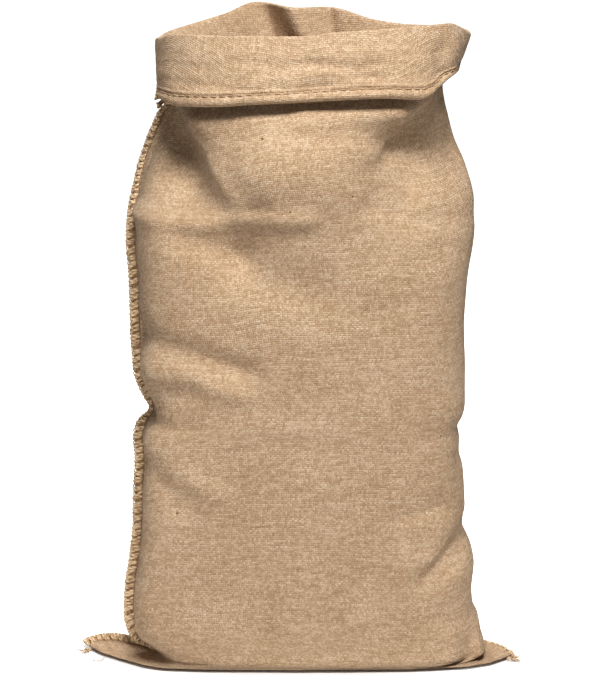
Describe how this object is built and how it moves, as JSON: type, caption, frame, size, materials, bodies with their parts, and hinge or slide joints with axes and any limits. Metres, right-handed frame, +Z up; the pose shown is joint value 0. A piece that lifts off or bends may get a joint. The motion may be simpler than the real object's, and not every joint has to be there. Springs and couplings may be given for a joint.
{
  "type": "hessian sack",
  "caption": "Open hessian sack standing on its folded bottom, with overcast side seams, pressed corners and a turned-down hemmed cuff.",
  "frame": {"origin": "on the floor, in the flat bottom of the sack, midway along its bottom fold", "axes": "+Z up the standing sack, +X along the bottom fold towards the seam that is turned to the back, -Y out of the front"},
  "size_m": [0.4858, 0.222, 0.7158],
  "materials": {
    "hessian": "plain-woven natural jute, matt, with slubs and loose fibres",
    "jute_twine": "thick spun jute twine, matt and hairy"
  },
  "bodies": {
    "root": {"sack_cloth": "hessian", "overcast_seam_left": "jute_twine", "overcast_seam_right": "jute_twine"}
  },
  "joints": []
}
